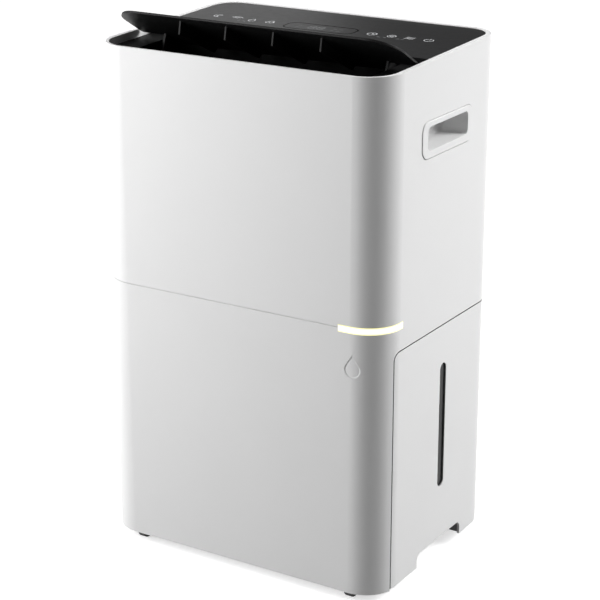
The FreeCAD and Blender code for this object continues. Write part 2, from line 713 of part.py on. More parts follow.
def handle_cup(name, side):
    """A finger cup: a thin flange let into the wall and a pocket behind it with soft inner corners."""
    flange = slab(
        name + "_flange", "YZ_Plane", ("-handle_front - handle_rim", "handle_rear + handle_rim"),
        (HANDLE_LOW, HANDLE_HIGH), across(side, "-groove_deep", "handle_proud"),
        (("handle_round * 2", anywhere),),
    )
    rounded(flange, name + "_soft", lambda e: abs(abs(e.CenterOfMass.x) - size("body_width") / 2
                                                  - size("handle_proud")) < 0.05, "0.7")
    body = slab(
        name + "_body", "YZ_Plane", ("-handle_front - handle_wall", "handle_rear + handle_wall"),
        ("handle_low - handle_wall", "handle_high + handle_wall"),
        across(side, "-handle_deep - handle_wall", 0.2), (("handle_round + 1", anywhere),),
    )
    hollow = slab(
        name + "_hollow", "YZ_Plane", ("-handle_front", "handle_rear"), ("handle_low", "handle_high"),
        across(side, "-handle_deep", 5), (("handle_round", anywhere),),
    )
    deep_end = size("body_width") / 2 - size("handle_deep")
    rounded(hollow, name + "_scoop", lambda e: abs(abs(e.CenterOfMass.x) - deep_end) < 0.05,
            "handle_round * 0.9")
    return cut(name, fuse(name + "_solid", flange, body), hollow)


node("handle_cup_right", handle_cup("handle_cup_right", 1))
node("handle_cup_left", handle_cup("handle_cup_left", -1))

# ---------------------------------------------------------------------------------------------------------
# Water tank: bucket, front panel, level window, lid, carry handle, float
# ---------------------------------------------------------------------------------------------------------

def bucket_block(name, inset, low, high):
    return slab(
        name, "XY_Plane", (f"tank_left + {inset}", f"tank_right - {inset}"),
        (f"{inset} - tank_front", f"tank_rear - {inset}"), (low, high),
        ((f"tank_round - {inset}", lambda m: m.x < size("tank_left") + 20),
         (f"30 - {inset}", lambda m: m.x > size("tank_left") + 20 and m.y > 0),
         (f"tank_round - {inset}", lambda m: m.x > size("tank_left") + 20 and m.y < 0)),
    )


node("tank_bucket", cut(
    "tank_bucket", bucket_block("bucket_outer", "0", "tank_low", "tank_high"),
    bucket_block("bucket_inner", "tank_wall", "tank_low + tank_wall", "tank_high + 5"),
))

door_zone = slab(
    "door_zone", "YZ_Plane", ("-door_front", "rear_split - fit_gap / 2"), ("door_low", "door_high"),
    ("body_width / 2 - 30", "body_width / 2 + 5"),
    (("door_round", lambda m: m.y < 0 and m.z > 100),),
)
window_slot = slab(
    "window_slot", "YZ_Plane", ("window_y - window_wide / 2", "window_y + window_wide / 2"),
    ("window_low", "window_high"), ("body_width / 2 - 30", "body_width / 2 + 5"),
    (("window_wide / 2 - 0.01", anywhere),),
)
notch = slab(
    "notch", "YZ_Plane", ("-notch_front", "notch_rear"), ("0", "notch_high"),
    ("body_width / 2 - 30", "body_width / 2 + 5"), (("notch_round", lambda m: m.z > 10),),
)
node("tank_door", cut("tank_door", common("door_sheet", walls, door_zone), window_slot, notch))
node("level_window", slab(
    "level_window", "YZ_Plane", ("window_y - window_wide / 2 + 0.2", "window_y + window_wide / 2 - 0.2"),
    ("window_low + 0.2", "window_high - 0.2"),
    ("body_width / 2 - cover_wall", "body_width / 2 - window_inset"),
    (("window_wide / 2 - 0.21", anywhere),),
))

LID = 2.4
lid_plate = bucket_block("lid_plate", "0.5", "tank_high", f"tank_high + {LID}")
lid_inlet = box("lid_inlet", ("72", "108"), ("46", "82"), ("tank_high - 5", "tank_high + 20"))
HINGE_Z = "tank_high + 8"
lid_lugs = [
    box(f"lid_lug{i}", (str(x), str(x + 4)), ("-5", "5"), (f"tank_high + {LID}", "tank_high + 12.5"))
    for i, x in enumerate((36, 164))
]
lid_bore = rod("lid_bore", "x", ("0", HINGE_Z), ("30", "180"), "2 + run_gap")
FLOAT_Y = 30
FLOAT_Z = "tank_high - 9"
float_lugs = [
    box(f"float_lug{i}", (str(x), str(x + 3)), (f"{FLOAT_Y - 4}", f"{FLOAT_Y + 4}"),
        ("tank_high - 13", "tank_high"))
    for i, x in enumerate((124, 163))
]
float_bore = rod("float_bore", "x", (str(FLOAT_Y), FLOAT_Z), ("120", "170"), "1.5 + run_gap")
node("tank_lid", cut("tank_lid", fuse("lid_full", lid_plate, *lid_lugs, *float_lugs), lid_inlet, lid_bore,
                     float_bore))

node("tank_handle", fuse(
    "tank_handle",
    box("bail_left", ("40.6", "46"), ("-70", "5"), (HINGE_Z + " - 3", HINGE_Z + " + 3")),
    box("bail_right", ("158", "163.4"), ("-70", "5"), (HINGE_Z + " - 3", HINGE_Z + " + 3")),
    slab("bail_bar", "YZ_Plane", ("-78", "-66"), (HINGE_Z + " - 3", HINGE_Z + " + 3"), ("40.6", "163.4"),
         (("2.5", anywhere),)),
    rod("bail_pin_left", "x", ("0", HINGE_Z), ("36", "41"), "2"),
    rod("bail_pin_right", "x", ("0", HINGE_Z), ("163", "168"), "2"),
))

ARM_Y = (f"{FLOAT_Y - 40}", f"{FLOAT_Y}")
ARM_Z = ("tank_high - 21", "tank_high - 12")
node("tank_float", fuse(
    "tank_float",
    slab("float_body", "XY_Plane", ("130", "160"), (f"{FLOAT_Y - 58}", f"{FLOAT_Y - 18}"),
         ("tank_high - 44", "tank_high - 20"), (("6", anywhere),)),
    box("float_arm_a", ("136", "139"), ARM_Y, ARM_Z),
    box("float_arm_b", ("151", "154"), ARM_Y, ARM_Z),
    rod("float_shaft", "x", (str(FLOAT_Y), FLOAT_Z), ("124", "166"), "1.5"),
    rod("float_hub_a", "x", (str(FLOAT_Y), FLOAT_Z), ("136", "139"), "4"),
    rod("float_hub_b", "x", (str(FLOAT_Y), FLOAT_Z), ("151", "154"), "4"),
))

# ---------------------------------------------------------------------------------------------------------
# Base tray and casters
# ---------------------------------------------------------------------------------------------------------

OUTSIDE = "(cover_wall + fit_gap)"
base_block = plan_block("base_block", OUTSIDE, OUTSIDE, OUTSIDE, "base_low", "base_high")
INSIDE = "(cover_wall + fit_gap + base_wall)"
base_hollow = plan_block("base_hollow", INSIDE, INSIDE, INSIDE, "base_low - 1", "base_high - base_wall")
base_shell = cut("base_shell", base_block, base_hollow)
finger_wall = box(
    "finger_wall",
    ("body_width / 2 - cover_wall - notch_deep - 2.6", "body_width / 2 - cover_wall - fit_gap"),
    ("-notch_front - 5.6", "notch_rear + 5.6"), ("base_low", "base_high - 1"),
)
finger_room = box(
    "finger_room", ("body_width / 2 - cover_wall - notch_deep", "body_width / 2 + 5"),
    ("-notch_front - 3", "notch_rear + 3"), ("base_low - 5", "base_high + 5"),
)
base_ribs = [
    box(f"base_rib{i}", ("-body_width / 2 + 5", "130"), (f"{y} - 1.2", f"{y} + 1.2"),
        ("boss_low + 2", "base_high - base_wall + 0.5")) for i, y in enumerate((-60, 0, 60))
]
CASTERS = {
    "front_left": ("-caster_x", "-caster_front"), "front_right": ("caster_x", "-caster_front"),
    "rear_left": ("-caster_x", "caster_rear"), "rear_right": ("caster_x", "caster_rear"),
}
bosses = []
boss_bores = []
for tag, centre in CASTERS.items():
    bosses.append(rod("boss_" + tag, "z", centre, ("boss_low", "base_high - 1"), "boss_radius"))
    boss_bores.append(rod("boss_bore_" + tag, "z", centre, ("boss_low - 1", "base_high - base_wall"),
                          "stem_radius + run_gap"))
wheel_arches = [
    box(f"wheel_arch{i}", (f"{cx} - arch_reach", f"{cx} + arch_reach"),
        ("-caster_front - arch_reach - 5", "arch_reach - caster_front"), ("base_low - 5", "boss_low - 1"))
    for i, cx in enumerate(("-caster_x", "caster_x"))
]
base_walls = cut("base_walls", base_shell, *wheel_arches)
base_full = fuse("base_full", base_walls, finger_wall, *base_ribs, *bosses)
node("base_tray", cut("base_tray", base_full, finger_room, *boss_bores))

for tag, (cx, cy) in CASTERS.items():
    axle_y = f"{cy} - trail"
    half = "(wheel_wide / 2 + 0.5)"
    plates = []
    for side in (-1, 1):
        inner, outer = f"{cx} + {side} * {half}", f"{cx} + {side} * ({half} + fork_plate)"
        x = (inner, outer) if side > 0 else (outer, inner)
        plates.append(prism(
            f"cheek_{tag}_{'l' if side < 0 else 'r'}", "YZ_Plane",
            [(f"{axle_y} - 4", "wheel_radius - 5"), (f"{axle_y} + 4", "wheel_radius - 5"),
             (f"{cy} + 6", "wheel_radius + 6"), (f"{cy} + 8", "fork_top - 1"),
             (f"{cy} - 7", "fork_top - 1"), (f"{axle_y} - 4", "wheel_radius + 4")],
            x,
        ))
    crown = rod("crown_" + tag, "z", (cx, cy), ("fork_top - fork_crown", "fork_top"), "boss_radius - 1")
    stem = rod("stem_" + tag, "z", (cx, cy), ("fork_top - 1", "stem_top"), "stem_radius")
    axle = (axle_y, "wheel_radius")
    axle_hole = rod("axle_hole_" + tag, "x", axle, (f"{cx} - 15", f"{cx} + 15"), "axle_radius")
    fork_full = fuse("fork_full_" + tag, crown, stem, *plates)
    node("caster_fork_" + tag, cut("caster_fork_" + tag, fork_full, axle_hole))
    tread = rod("tread_" + tag, "x", axle, (f"{cx} - wheel_wide / 2", f"{cx} + wheel_wide / 2"),
                "wheel_radius")
    wheel_bore = rod("wheel_bore_" + tag, "x", axle, (f"{cx} - 15", f"{cx} + 15"), "axle_radius + run_gap")
    wheel_solid = soft_can("tread_soft_" + tag, tread, 1.6)
    node("caster_wheel_" + tag, cut("caster_wheel_" + tag, wheel_solid, wheel_bore))
    node("caster_axle_" + tag, rod(
        "caster_axle_" + tag, "x", axle,
        (f"{cx} - {half} - fork_plate", f"{cx} + {half} + fork_plate"), "axle_radius"))

# ---------------------------------------------------------------------------------------------------------
# Tank bay liner, drip tray, coils
# ---------------------------------------------------------------------------------------------------------

SPOUT = ("90", "64")
liner = fuse(
    "liner_full",
    box("liner_wall", ("bay_wall_x", "bay_wall_x + bay_wall"), ("-127", "127"),
        ("base_high", "bay_ceiling + bay_wall")),
    box("liner_ceiling", ("bay_wall_x", "184"), ("-92", "104"), ("bay_ceiling", "bay_ceiling + bay_wall")),
)
node("tank_bay_liner", cut("tank_bay_liner", liner, rod(
    "liner_hole", "z", SPOUT, ("bay_ceiling - 5", "bay_ceiling + 10"), "8")))

TRAY_X = ("-coil_left - 4", "coil_right + 4")
TRAY_Y = ("condenser_y - 6", "evaporator_y + evaporator_deep + 5")
tray_block = slab("tray_block", "XY_Plane", TRAY_X, TRAY_Y, ("tray_low", "tray_high"), (("4", anywhere),))
tray_inside = box("tray_inside", (TRAY_X[0] + " + 2", TRAY_X[1] + " - 2"),
                  (TRAY_Y[0] + " + 2", TRAY_Y[1] + " - 2"), ("tray_low + 2", "tray_high + 5"))
spout = rod("spout", "z", SPOUT, ("bay_ceiling - 4", "tray_low + 1"), "6.5")
spout_bore = rod("spout_bore", "z", SPOUT, ("bay_ceiling - 10", "tray_low + 5"), "4.5")
node("drip_tray", cut("drip_tray", fuse("tray_full", tray_block, spout), tray_inside, spout_bore))


def coil(name, y, deep, header_low, right_header):
    """A finned coil with a header on the left from header_low up and a short stub on the right."""
    block = box(name + "_fins", ("-coil_left", "coil_right"), (y, f"{y} + {deep}"), ("coil_low", "coil_high"))
    slots = [
        box(f"{name}_slot{i}", ("-coil_left + 4", "coil_right - 4"),
            (f"{y} + {deep} - 2", f"{y} + {deep} + 1"),
            (f"coil_low + {12 * i} + 5", f"coil_low + {12 * i} + 11")) for i in range(19)
    ]
    mid = f"{y} + {deep} / 2"
    header = rod(name + "_header", "z", ("-header_x", mid), (header_low, "coil_high - 20"), "header_radius")
    links = [
        rod(f"{name}_link{i}", "x", (mid, f"coil_low + {40 + 50 * i}"), ("-header_x", "-coil_left + 1"), "3")
        for i in range(4)
    ]
    stub = rod(name + "_stub", "z", ("coil_right + 14", mid), (right_header, f"{right_header} + 30"),
               "header_radius")
    stub_link = rod(name + "_stub_link", "x", (mid, f"{right_header} + 15"),
                    ("coil_right - 1", "coil_right + 14"), "3")
    return fuse(name, cut(name + "_core", block, *slots), header, *links, stub, stub_link)


node("evaporator", coil("evaporator", "evaporator_y", "evaporator_deep", "coil_low + 6", "coil_low + 70"))
node("condenser", coil("condenser", "condenser_y", "condenser_deep", "coil_low + 30", "coil_low + 150"))

# ---------------------------------------------------------------------------------------------------------
# Compressor and refrigerant circuit
# ---------------------------------------------------------------------------------------------------------

comp_core = rod("comp_core", "z", ("-comp_x", "0"), ("comp_low", "comp_high"), "comp_radius")
comp_can = soft_can("comp_can", comp_core, size("comp_round"))
foot_plate = slab("foot_plate", "XY_Plane", ("-comp_x - 62", "62 - comp_x"), ("-58", "58"),
                  ("comp_low", "comp_low + 3"), (("16", anywhere),))
FEET = [(-50, -44), (-50, 44), (50, -44), (50, 44)]
foot_holes = [rod(f"foot_hole{i}", "z", (f"{x} - comp_x", str(y)), ("comp_low - 5", "comp_low + 8"), "5")
              for i, (x, y) in enumerate(FEET)]
comp_band = rod("comp_band", "z", ("-comp_x", "0"), ("comp_high - 60", "comp_high - 52"), "comp_radius + 1.5")
stub_out = rod("comp_stub", "z", ("-pipe_x", "0"), ("comp_high - 2", "comp_high + 8"), "pipe_radius + 1")
comp_full = fuse("comp_full", comp_can, foot_plate, comp_band, stub_out)
node("compressor", cut("compressor", comp_full, *foot_holes))
feet = []
for i, (x, y) in enumerate(FEET):
    centre = (f"{x} - comp_x", str(y))
    sleeve = rod(f"foot_low{i}", "z", centre, ("base_high", "comp_low"), "9")
    neck = rod(f"foot_neck{i}", "z", centre, ("comp_low - 1", "comp_low + 3"), "5")
    top = rod(f"foot_top{i}", "z", centre, ("comp_low + 3", "comp_low + 7"), "8")
    feet.append(fuse(f"foot{i}", sleeve, neck, top))
node("rubber_feet", group("rubber_feet", *feet))
node("terminal_cover", slab(
    "terminal_cover", "XY_Plane", ("-comp_x - 16", "16 - comp_x"),
    ("-comp_radius - 14", "-comp_radius - 0.5"), ("comp_low + 70", "comp_low + 112"), (("4", at_front),),
))

FLASK_NECK = 10
FLASK = ("-pipe_x", "flask_y")
flask_core = rod("flask_core", "z", FLASK, ("flask_low", "flask_high"), "flask_radius")
flask_can = soft_can("flask_can", flask_core, 9)
flask_neck = rod("flask_neck", "z", FLASK, ("flask_high - 2", f"flask_high + {FLASK_NECK}"),
                 "pipe_radius + 1")
flask_feed = rod("flask_feed", "z", FLASK, ("base_high + 12", "flask_low + 2"), "pipe_radius")
flask_foot = rod("flask_foot", "z", FLASK, ("base_high", "base_high + 12"), "12")
node("accumulator", fuse("accumulator", flask_can, flask_neck, flask_feed, flask_foot))

PIPE_BEND = 16
PIPE_TOP_OUT = 372
PIPE_TOP_IN = 344
comp_mouth = size("comp_high") + 8
flask_mouth = size("flask_high") + FLASK_NECK
condenser_mid = size("condenser_y") + size("condenser_deep") / 2
evaporator_mid = size("evaporator_y") + size("evaporator_deep") / 2
node("discharge_pipe", bent_pipe(
    "discharge_pipe", "YZ_Plane", "-pipe_x",
    [(0.001, comp_mouth), (0.001, PIPE_TOP_OUT), (condenser_mid - 3, PIPE_TOP_OUT)],
    PIPE_BEND, "pipe_radius", "XY_Plane", ("-pipe_x", "0.001"), str(comp_mouth),
))
node("suction_pipe", bent_pipe(
    "suction_pipe", "YZ_Plane", "-pipe_x",
    [(size("flask_y"), flask_mouth), (size("flask_y"), PIPE_TOP_IN), (evaporator_mid - 3, PIPE_TOP_IN)],
    9, "pipe_radius", "XY_Plane", ("-pipe_x", "flask_y"), str(flask_mouth),
))

DRIER_X = "coil_right + 14"
drier_top = size("coil_low") + 150
drier_y = "condenser_y + condenser_deep / 2"
drier_end = drier_top - 70
node("filter_drier", fuse(
    "filter_drier",
    rod("drier_can", "z", (DRIER_X, drier_y), (drier_top - 62, drier_top - 12), "8"),
    rod("drier_neck", "z", (DRIER_X, drier_y), (drier_top - 12.5, drier_top), "3"),
    rod("drier_tail", "z", (DRIER_X, drier_y), (drier_end, drier_end + 9), "2.2"),
))
node("capillary_tube", bent_pipe(
    "capillary_tube", "YZ_Plane", DRIER_X,
    [(condenser_mid, drier_end), (condenser_mid, size("coil_low") + 40),
     (evaporator_mid, size("coil_low") + 40), (evaporator_mid, size("coil_low") + 70)],
    10, "1.6", "XY_Plane", (DRIER_X, drier_y), str(drier_end),
))

# ---------------------------------------------------------------------------------------------------------
# Fan: volute housing, wheel, motor, plenum
# ---------------------------------------------------------------------------------------------------------

def volute_face(grow, top):
    """The volute's outline in the XZ plane: a spiral that widens into a straight throat up to a height."""
    start, growth = size("volute_start") + grow, size("volute_growth")
    centre = V(-size("fan_x"), 0, size("fan_z"))
    steps = 24
    points = []
    for i in range(steps + 1):
        turn = 1.75 * math.pi * i / steps
        radius = start + growth * i / steps
        angle = math.pi / 2 - turn
        points.append(centre + V(radius * math.cos(angle), 0, radius * math.sin(angle)))
    spiral = Part.BSplineCurve()
    spiral.interpolate(points)
    first, last = points[0], points[-1]
    corner_a = V(first.x, 0, top)
    corner_b = V(last.x, 0, top)
    edges = [spiral.toShape(), Part.LineSegment(last, corner_b).toShape(),
             Part.LineSegment(corner_b, corner_a).toShape(), Part.LineSegment(corner_a, first).toShape()]
    return Part.Face(Part.Wire(edges))


def slab_of(face, y_low, y_high):
    moved = face.copy()
    moved.translate(V(0, y_low, 0))
    return moved.extrude(V(0, y_high - y_low, 0))


fan_front, fan_rear, fan_wall = size("fan_front"), size("fan_rear"), size("fan_wall")
housing_outer = slab_of(volute_face(fan_wall, size("plenum_low") - 0.5), -fan_front, -fan_rear)
housing_inner = slab_of(volute_face(0, size("plenum_low") + 5), fan_wall - fan_front, -fan_rear - fan_wall)
fan_centre = V(-size("fan_x"), 0, size("fan_z"))
inlet = Part.makeCylinder(size("inlet_radius"), 20, fan_centre + V(0, -fan_rear - 10, 0), V(0, 1, 0))
shaft_way = Part.makeCylinder(12, 20, fan_centre + V(0, -fan_front - 10, 0), V(0, 1, 0))
node("fan_housing", made("fan_housing", housing_outer.cut(housing_inner).cut(inlet).cut(shaft_way)))

WHEEL_FRONT = "-fan_front + fan_wall + 3.5"
WHEEL_REAR = "-fan_rear - fan_wall - 3.5"
BLADE_COUNT = 32
wheel = doc.addObject("PartDesign::Body", "blower_wheel")


def wheel_disc(name, radius, w):
    sketch = flat_sketch(wheel, "XZ_Plane", name + "_outline", lift_of("XZ_Plane", w))
    circle(sketch, "-fan_x", "fan_z", radius)
    feature = wheel.newObject("PartDesign::Pad", name)
    feature.Profile = sketch
    feature.setExpression("Length", ex(less(*w)))
    doc.recompute()
    return feature


wheel_disc("wheel_plate", "wheel_r_out", (WHEEL_FRONT, WHEEL_FRONT + " + 2"))
wheel_disc("wheel_hub", "14", (WHEEL_FRONT, WHEEL_FRONT + " + 24"))
wheel_disc("wheel_shaft", "4", ("-fan_front - 8", WHEEL_FRONT + " + 1"))
blade = pad(
    wheel, "wheel_blade", "XZ_Plane",
    [("wheel_r_in - fan_x", "fan_z - 3"), ("wheel_r_in - fan_x + 1.5", "fan_z - 3.8"),
     ("wheel_r_out - fan_x - 1", "fan_z + 4"), ("wheel_r_out - fan_x - 2.4", "fan_z + 5")],
    (WHEEL_FRONT + " + 1", WHEEL_REAR),
)
axis_sketch = flat_sketch(wheel, "XZ_Plane", "wheel_axis", "0")
circle(axis_sketch, "-fan_x", "fan_z", "1")
doc.recompute()
blades = wheel.newObject("PartDesign::PolarPattern", "blades")
blades.Originals = [blade]
axis_line = wheel.newObject("PartDesign::Line", "axis_line")
axis_line.AttachmentSupport = [(axis_sketch, "Edge1")]
axis_line.MapMode = "AxisOfCurvature"
doc.recompute()
blades.Axis = (axis_line, [""])
blades.Angle = 360
blades.Occurrences = BLADE_COUNT
wheel.Tip = blades
doc.recompute()
RIM_SPAN = (WHEEL_REAR + " - 4", WHEEL_REAR)
rim_sketch = flat_sketch(wheel, "XZ_Plane", "wheel_rim_outline", lift_of("XZ_Plane", RIM_SPAN))
circle(rim_sketch, "-fan_x", "fan_z", "wheel_r_out")
circle(rim_sketch, "-fan_x", "fan_z", "wheel_r_out - 4")
wheel_rim = wheel.newObject("PartDesign::Pad", "wheel_rim")
wheel_rim.Profile = rim_sketch
wheel_rim.setExpression("Length", ex(less(*RIM_SPAN)))
doc.recompute()
node("blower_wheel", wheel)

motor_can = rod("motor_can", "y", ("-fan_x", "fan_z"), ("-motor_front", "-fan_front - 0.2"), "motor_radius")
motor_flange = slab("motor_flange", "XZ_Plane", ("-fan_x - 46", "46 - fan_x"), ("fan_z - 30", "fan_z + 30"),
                    ("-fan_front - 3", "-fan_front"), (("8", anywhere),))
motor_bore = rod("motor_bore", "y", ("-fan_x", "fan_z"), ("-fan_front - 9", "-fan_front + 5"), "4 + run_gap")
node("fan_motor", cut("fan_motor", fuse("motor_full", motor_can, motor_flange), motor_bore))

mouth_edge = size("plenum_low") - 1
throat = [corner.X for corner in volute_face(0, size("plenum_low")).Vertexes if corner.Z > mouth_edge]
PLENUM_TOP = "plenum_low + 14"
plenum_outer = box("plenum_outer", DUCT_X, DUCT_Y, ("plenum_low", PLENUM_TOP))
plenum_inner = box("plenum_inner", ("-duct_half", "duct_half"), ("-duct_front", "-duct_rear"),
                   ("plenum_low + fan_wall", "plenum_low + 30"))
plenum_throat = box("plenum_throat", (str(min(throat)), str(max(throat))),
                    ("fan_wall - fan_front", "-fan_rear - fan_wall"), ("plenum_low - 5", "plenum_low + 10"))
node("outlet_plenum", cut("outlet_plenum", plenum_outer, plenum_inner, plenum_throat))

# ---------------------------------------------------------------------------------------------------------
# Electronics
# ---------------------------------------------------------------------------------------------------------

CASE_X = ("-158", "-20")
CASE_Y = ("-124", "-80")
CASE_Z = ("60", "200")
case_block = slab("case_block", "XZ_Plane", CASE_X, CASE_Z, CASE_Y, (("5", anywhere),))
case_room = box("case_room", (CASE_X[0] + " + 2", CASE_X[1] + " - 2"),
                (CASE_Y[0] + " - 1", CASE_Y[1] + " - 2"), (CASE_Z[0] + " + 2", CASE_Z[1] + " - 2"))
node("electronics_box", cut("electronics_box", case_block, case_room))
node("electronics_cover", slab(
    "electronics_cover", "XZ_Plane", CASE_X, CASE_Z, (CASE_Y[0] + " - 2.2", CASE_Y[0] + " - 0.2"),
    (("5", anywhere),),
))
node("main_board", fuse(
    "main_board", box("board_sheet", ("-153", "-26"), ("-92", "-90.4"), ("66", "194")),
    box("transformer", ("-100", "-60"), ("-118", "-91"), ("90", "130")),
    box("relay_one", ("-50", "-34"), ("-110", "-91"), ("80", "108")),
    box("relay_two", ("-50", "-34"), ("-110", "-91"), ("120", "148")),
))
node("run_capacitor", rod("run_capacitor", "z", ("-138", "-108"), ("80", "140"), "11"))
node("humidity_sensor", fuse(
    "humidity_sensor", box("sensor_board", ("146", "170"), ("106", "107.6"), ("420", "450")),
    box("sensor_cell", ("152", "164"), ("107.6", "112"), ("430", "442")),
))
node("tank_switch", fuse(
    "tank_switch", box("switch_body", ("120", "150"), ("92", "104"), ("bay_ceiling - 12", "bay_ceiling")),
    box("switch_lever", ("124", "146"), ("90", "92"), ("bay_ceiling - 10", "bay_ceiling - 3")),
))

# ---------------------------------------------------------------------------------------------------------
# Check and export
# ---------------------------------------------------------------------------------------------------------

doc.recompute()
for thing in doc.Objects:
    if any(word in ("Invalid", "Error") for word in thing.State):
        raise RuntimeError(f"{thing.Name} failed: {thing.State}")
labels = [thing.Label for thing in NODES]
if len(set(labels)) != len(labels) or len(labels) > 60:
    raise RuntimeError("labels repeat or are too many")
os.makedirs("parts", exist_ok=True)
for thing in NODES:
    shape = thing.Shape
    if shape.isNull() or not shape.isValid() or not shape.Solids:
        raise RuntimeError(f"{thing.Label} has no valid solid")
    shape.exportStep(f"parts/{thing.Label}.step")
    room = shape.BoundBox
    print(f"{thing.Label:28s} solids {len(shape.Solids)}  volume {shape.Volume:11.0f}  "
          f"x {room.XMin:7.1f} {room.XMax:7.1f}  y {room.YMin:7.1f} {room.YMax:7.1f}  "
          f"z {room.ZMin:7.1f} {room.ZMax:7.1f}")
print(len(NODES), "sub-parts")
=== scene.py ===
import json
import math

import bmesh
import bpy
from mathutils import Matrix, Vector


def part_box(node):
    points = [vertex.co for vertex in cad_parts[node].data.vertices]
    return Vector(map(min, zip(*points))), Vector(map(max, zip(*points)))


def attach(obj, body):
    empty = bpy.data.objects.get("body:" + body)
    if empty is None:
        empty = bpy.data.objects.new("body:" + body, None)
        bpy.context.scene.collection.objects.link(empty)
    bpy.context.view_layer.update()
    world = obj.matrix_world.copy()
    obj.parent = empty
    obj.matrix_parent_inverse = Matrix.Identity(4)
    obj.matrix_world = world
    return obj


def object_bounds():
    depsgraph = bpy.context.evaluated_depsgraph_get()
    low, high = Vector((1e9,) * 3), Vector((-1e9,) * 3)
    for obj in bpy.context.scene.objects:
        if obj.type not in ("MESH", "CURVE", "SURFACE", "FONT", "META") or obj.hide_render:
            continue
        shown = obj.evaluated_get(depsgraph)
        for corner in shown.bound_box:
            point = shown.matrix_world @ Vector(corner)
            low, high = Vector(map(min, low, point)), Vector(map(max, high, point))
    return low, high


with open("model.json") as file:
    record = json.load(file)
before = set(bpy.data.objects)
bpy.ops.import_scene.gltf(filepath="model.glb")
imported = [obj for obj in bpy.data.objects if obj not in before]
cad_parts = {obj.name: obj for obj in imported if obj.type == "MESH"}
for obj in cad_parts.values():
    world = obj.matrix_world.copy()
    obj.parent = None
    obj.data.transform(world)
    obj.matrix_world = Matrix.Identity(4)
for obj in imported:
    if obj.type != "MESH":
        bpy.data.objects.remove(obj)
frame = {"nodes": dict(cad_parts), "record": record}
cad_low, cad_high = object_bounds()
MM = 0.001

# ---------------------------------------------------------------------------------------------------------
# Camera, lights, world and floor
# ---------------------------------------------------------------------------------------------------------

# Angles are in degrees and lengths in metres, but the lens and its sensor are in millimetres.
VIEW_AZIMUTH = 31.77
VIEW_ELEVATION = 19.1
VIEW_DISTANCE = 2.1819
VIEW_LENS = 111.0
VIEW_SENSOR = 36.0
VIEW_AIM = Vector((0.00295, 0.0, 0.2969))

LIGHT_AIM = Vector((0.0, 0.0, 0.3))
OVERHEAD_POWER = 0.9
OVERHEAD_ANGLE = 40.0
WORLD_FILL = 0.10
FLOOR_SIZE = 400.0
FLOOR_GLOW = 0.65


def put_facing(name, data, azimuth, elevation, distance, aim):
    """Stand a camera or light round the object, azimuth 0 in front and 90 on its right, facing the aim."""
    thing = bpy.data.objects.new(name, data)
    bpy.context.scene.collection.objects.link(thing)
    turn, rise = math.radians(azimuth), math.radians(elevation)
    out = Vector((math.sin(turn) * math.cos(rise), -math.cos(turn) * math.cos(rise), math.sin(rise)))
    thing.location = aim + out * distance
    thing.rotation_mode = "QUATERNION"
    thing.rotation_quaternion = (-out).to_track_quat("-Z", "Y")
    return thing


def make_camera():
    """A long lens that looks slightly down on the front right corner."""
    data = bpy.data.cameras.new("camera")
    data.lens = VIEW_LENS
    data.sensor_width = VIEW_SENSOR
    bpy.context.scene.camera = put_facing(
        "camera", data, VIEW_AZIMUTH, VIEW_ELEVATION, VIEW_DISTANCE, VIEW_AIM)


def make_softbox(name, azimuth, elevation, distance, width, height, power):
    """A rectangular studio light."""
    data = bpy.data.lights.new(name, "AREA")
    data.shape = "RECTANGLE"
    data.size = width
    data.size_y = height
    data.energy = power
    put_facing(name, data, azimuth, elevation, distance, LIGHT_AIM)


def make_overhead():
    """A wide soft light straight above, even over the whole floor."""
    data = bpy.data.lights.new("overhead", "SUN")
    data.energy = OVERHEAD_POWER
    data.angle = math.radians(OVERHEAD_ANGLE)
    bpy.context.scene.collection.objects.link(bpy.data.objects.new("overhead", data))


def make_world():
    """A world that looks white and gives the object only a little light."""
    world = bpy.data.worlds.new("studio")
    bpy.context.scene.world = world
    world.use_nodes = True
    tree = world.node_tree
    strength = spread(tree, tree.nodes.new("ShaderNodeLightPath").outputs["Is Camera Ray"], WORLD_FILL, 1.0)
    feed(tree, tree.nodes["Background"].inputs["Color"], (1.0, 1.0, 1.0))
    feed(tree, tree.nodes["Background"].inputs["Strength"], strength)


def make_floor():
    """A pale floor that throws no diffuse light back at the object."""
    bpy.ops.mesh.primitive_plane_add(size=FLOOR_SIZE, location=(0, 0, 0))
    floor = bpy.context.object
    floor.name = "floor"
    floor.data.materials.append(floor_paint())
    floor.visible_diffuse = False


def make_studio():
    """The white world, the floor and the lights."""
    bpy.context.scene.view_settings.view_transform = "Standard"
    make_world()
    make_floor()
    make_overhead()
    make_softbox("softbox_left", azimuth=-49, elevation=21, distance=1.45, width=1.1, height=1.7, power=27)
    make_softbox("softbox_right", azimuth=126, elevation=33, distance=3.2, width=1.8, height=1.6, power=107)
    make_softbox("softbox_back", azimuth=230, elevation=18, distance=2.2, width=1.5, height=1.2, power=3)


# ---------------------------------------------------------------------------------------------------------
# Steps that materials are made of
# ---------------------------------------------------------------------------------------------------------

# The places of a mix node's colour sockets.
MIX_FIRST = 6
MIX_SECOND = 7
MIX_RESULT = 2

# A wave texture of scale one turns through this many radians in a metre.
WAVE_UNIT = 20.0

# The radius in metres that every moulded edge looks broken by.
EDGE_RADIUS = 0.0006
EDGE_SAMPLES = 4


def start_material(name):
    """A new material, its node tree and the point that its textures are read at."""
    material = bpy.data.materials.new(name)
    material.use_nodes = True
    tree = material.node_tree
    return material, tree, tree.nodes.new("ShaderNodeTexCoord").outputs["Object"]


def feed(tree, socket, value):
    """Link a socket to another one, or set it to a number or to red, green and blue."""
    if isinstance(value, bpy.types.NodeSocket):
        tree.links.new(value, socket)
    elif socket.type == "RGBA":
        socket.default_value = (*value, 1.0)
    else:
        socket.default_value = value


